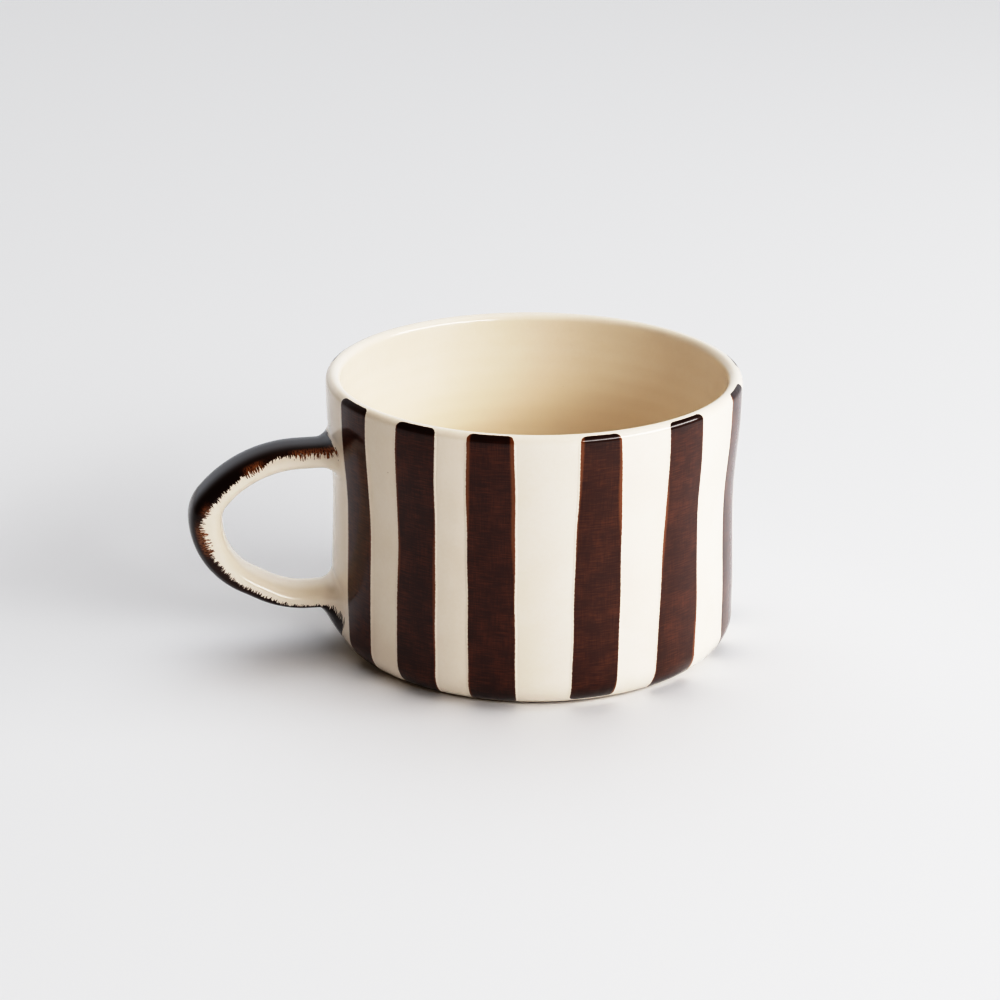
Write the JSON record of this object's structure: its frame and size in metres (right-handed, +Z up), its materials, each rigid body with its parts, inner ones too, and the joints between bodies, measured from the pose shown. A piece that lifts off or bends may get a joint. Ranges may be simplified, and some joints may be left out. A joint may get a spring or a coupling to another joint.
{
  "type": "ceramic mug",
  "caption": "Wide low stoneware mug with a pulled strap handle, cream glaze and brushed brown vertical stripes.",
  "frame": {"origin": "centre of the foot, in the plane that the mug stands on", "axes": "+Z up along the cup's axis; the handle is on the -X side, in the X-Z plane; -Y is the side shown from the front"},
  "size_m": [0.1397, 0.1042, 0.07],
  "materials": {
    "cream_glaze": "glossy warm cream glaze over stoneware with small iron specks",
    "brown_underglaze": "brushed dark brown underglaze under clear gloss glaze, with thin red-brown edges"
  },
  "bodies": {
    "root": {"cup": "cream_glaze", "handle": "cream_glaze", "upper_joint": "cream_glaze", "lower_joint": "cream_glaze", "handle_band": "brown_underglaze", "stripe_01": "brown_underglaze", "stripe_02": "brown_underglaze", "stripe_03": "brown_underglaze", "stripe_04": "brown_underglaze", "stripe_05": "brown_underglaze", "stripe_06": "brown_underglaze", "stripe_07": "brown_underglaze", "stripe_08": "brown_underglaze", "stripe_09": "brown_underglaze", "stripe_10": "brown_underglaze", "stripe_11": "brown_underglaze", "stripe_12": "brown_underglaze", "stripe_13": "brown_underglaze"}
  },
  "joints": []
}
